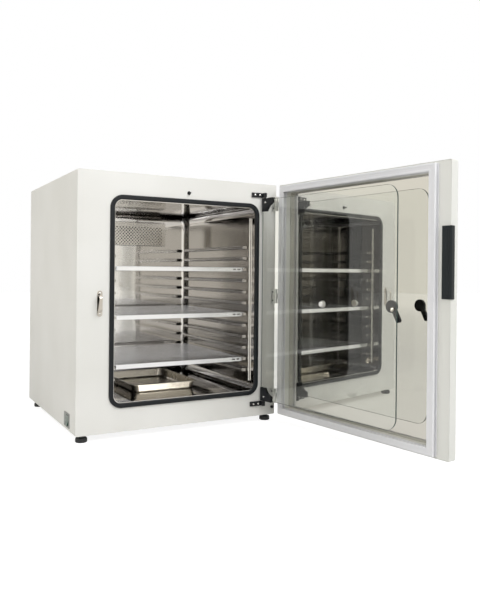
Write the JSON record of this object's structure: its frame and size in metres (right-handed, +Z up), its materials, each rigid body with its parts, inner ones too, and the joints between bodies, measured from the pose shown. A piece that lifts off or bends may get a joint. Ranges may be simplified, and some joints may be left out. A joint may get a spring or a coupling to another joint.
{
  "type": "carbon dioxide incubator",
  "caption": "Insulated laboratory incubator cabinet with open outer door, inner glass door, polished chamber, racks, shelves, fan and water pan.",
  "frame": {"origin": "middle of the case's flat underside, above the feet", "axes": "+Z up, -Y out of the front where the doors open, +X to the hinge side of both doors"},
  "size_m": [0.8384, 1.394, 0.826],
  "materials": {
    "case_paint": "satin off-white powder coat",
    "stainless": "polished stainless steel",
    "bright_panel": "mirror-polished stainless steel",
    "chrome": "bright plated",
    "black_rubber": "matte",
    "black_plastic": "fine satin",
    "grey_plastic": "satin",
    "green_plastic": "dark translucent green",
    "display": "dark glossy window",
    "white_rubber": "satin",
    "seal_grey": "satin light grey",
    "foam": "insulating foam",
    "glass": "clear, polished edge",
    "zinc": "zinc plated"
  },
  "bodies": {
    "cabinet": {"outer_case": "case_paint", "front_panel": "case_paint", "rear_panel": "case_paint", "foam_left": "foam", "foam_right": "foam", "foam_top": "foam", "foam_bottom": "foam", "foam_back": "foam", "chamber_liner": "bright_panel", "chamber_gasket": "black_rubber", "rack_left": "stainless", "rack_right": "stainless", "fan_cover": "stainless", "fan_motor": "black_plastic", "sensor_probe": "stainless", "control_box": "zinc", "mains_inlet": "black_plastic", "gas_inlet": "chrome", "switch_housing": "grey_plastic", "plunger_bush": "black_plastic", "keeper": "stainless", "glass_hinge_top": "black_plastic", "glass_hinge_bottom": "black_plastic", "case_leaf_1": "chrome", "case_leaf_2": "chrome", "case_leaf_3": "chrome", "case_gland": "black_plastic", "top_button_front_left": "grey_plastic", "top_button_front_right": "grey_plastic", "top_button_rear_left": "grey_plastic", "top_button_rear_right": "grey_plastic"},
    "outer_door": {"door_shell": "case_paint", "door_frame": "case_paint", "mirror_panel": "bright_panel", "door_foam": "foam", "magnetic_seal": "seal_grey", "door_grip": "black_plastic", "control_panel": "grey_plastic", "display_window": "display", "door_gland": "black_plastic", "door_leaf_1": "chrome", "door_leaf_2": "chrome", "door_leaf_3": "chrome"},
    "glass_door": {"glass_pane": "glass", "clamp_top": "black_plastic", "clamp_bottom": "black_plastic"},
    "latch": {"latch": "black_plastic"},
    "port_plug": {"port_plug": "white_rubber"},
    "shelf_top": {"shelf_top": "stainless"},
    "shelf_middle": {"shelf_middle": "stainless"},
    "shelf_bottom": {"shelf_bottom": "stainless"},
    "water_pan": {"water_pan": "stainless"},
    "fan_wheel": {"fan_wheel": "black_plastic"},
    "power_rocker": {"power_rocker": "green_plastic"},
    "door_plunger": {"door_plunger": "black_plastic"},
    "foot_front_left": {"foot_front_left": "black_rubber"},
    "foot_front_right": {"foot_front_right": "black_rubber"},
    "foot_rear_left": {"foot_rear_left": "black_rubber"},
    "foot_rear_right": {"foot_rear_right": "black_rubber"}
  },
  "joints": [
    {"name": "outer_door_hinge", "type": "hinge", "parent": "cabinet", "child": "outer_door", "pos_m": [0.35, -0.339, 0.4], "axis": [0, 0, 1], "range_deg": [-97.2, 22.8]},
    {"name": "glass_door_hinge", "type": "hinge", "parent": "cabinet", "child": "glass_door", "pos_m": [0.297, -0.3425, 0.4], "axis": [0, 0, 1], "range_deg": [-98.7, 23.2]},
    {"name": "latch_turn", "type": "hinge", "parent": "glass_door", "child": "latch", "pos_m": [0.37988, -0.88875, 0.396], "axis": [0.9885, 0.1513, 0], "range_deg": [0, 135]},
    {"name": "port_plug_pull", "type": "slide", "parent": "glass_door", "child": "port_plug", "axis": [0.9885, 0.1513, 0], "range_m": [0, 0.03]},
    {"name": "shelf_top_slide", "type": "slide", "parent": "cabinet", "child": "shelf_top", "axis": [0, -1, 0], "range_m": [0, 0.25]},
    {"name": "shelf_middle_slide", "type": "slide", "parent": "cabinet", "child": "shelf_middle", "axis": [0, -1, 0], "range_m": [0, 0.25]},
    {"name": "shelf_bottom_slide", "type": "slide", "parent": "cabinet", "child": "shelf_bottom", "axis": [0, -1, 0], "range_m": [0, 0.25]},
    {"name": "water_pan_slide", "type": "slide", "parent": "cabinet", "child": "water_pan", "axis": [0, -1, 0], "range_m": [0, 0.125]},
    {"name": "fan_spin", "type": "hinge", "parent": "cabinet", "child": "fan_wheel", "pos_m": [0.0155, 0.25, 0.6435], "axis": [0, 1, 0], "continuous": true},
    {"name": "power_rocker_tilt", "type": "hinge", "parent": "cabinet", "child": "power_rocker", "pos_m": [-0.345, -0.24, 0.0325], "axis": [0, 1, 0], "range_deg": [-16, 0]},
    {"name": "door_plunger_press", "type": "slide", "parent": "cabinet", "child": "door_plunger", "axis": [0, 1, 0], "range_m": [0, 0.01], "stiffness_N_per_m": 120, "springref_m": -0.002},
    {"name": "foot_front_left_turn", "type": "hinge", "parent": "cabinet", "child": "foot_front_left", "pos_m": [-0.325, -0.305, 0], "axis": [0, 0, 1], "continuous": true},
    {"name": "foot_front_right_turn", "type": "hinge", "parent": "cabinet", "child": "foot_front_right", "pos_m": [0.325, -0.305, 0], "axis": [0, 0, 1], "continuous": true},
    {"name": "foot_rear_left_turn", "type": "hinge", "parent": "cabinet", "child": "foot_rear_left", "pos_m": [-0.325, 0.27, 0], "axis": [0, 0, 1], "continuous": true},
    {"name": "foot_rear_right_turn", "type": "hinge", "parent": "cabinet", "child": "foot_rear_right", "pos_m": [0.325, 0.27, 0], "axis": [0, 0, 1], "continuous": true}
  ],
  "couplings": [
    {"joint": "glass_door_hinge", "follows": "outer_door_hinge", "ratio": 1.0154}
  ]
}
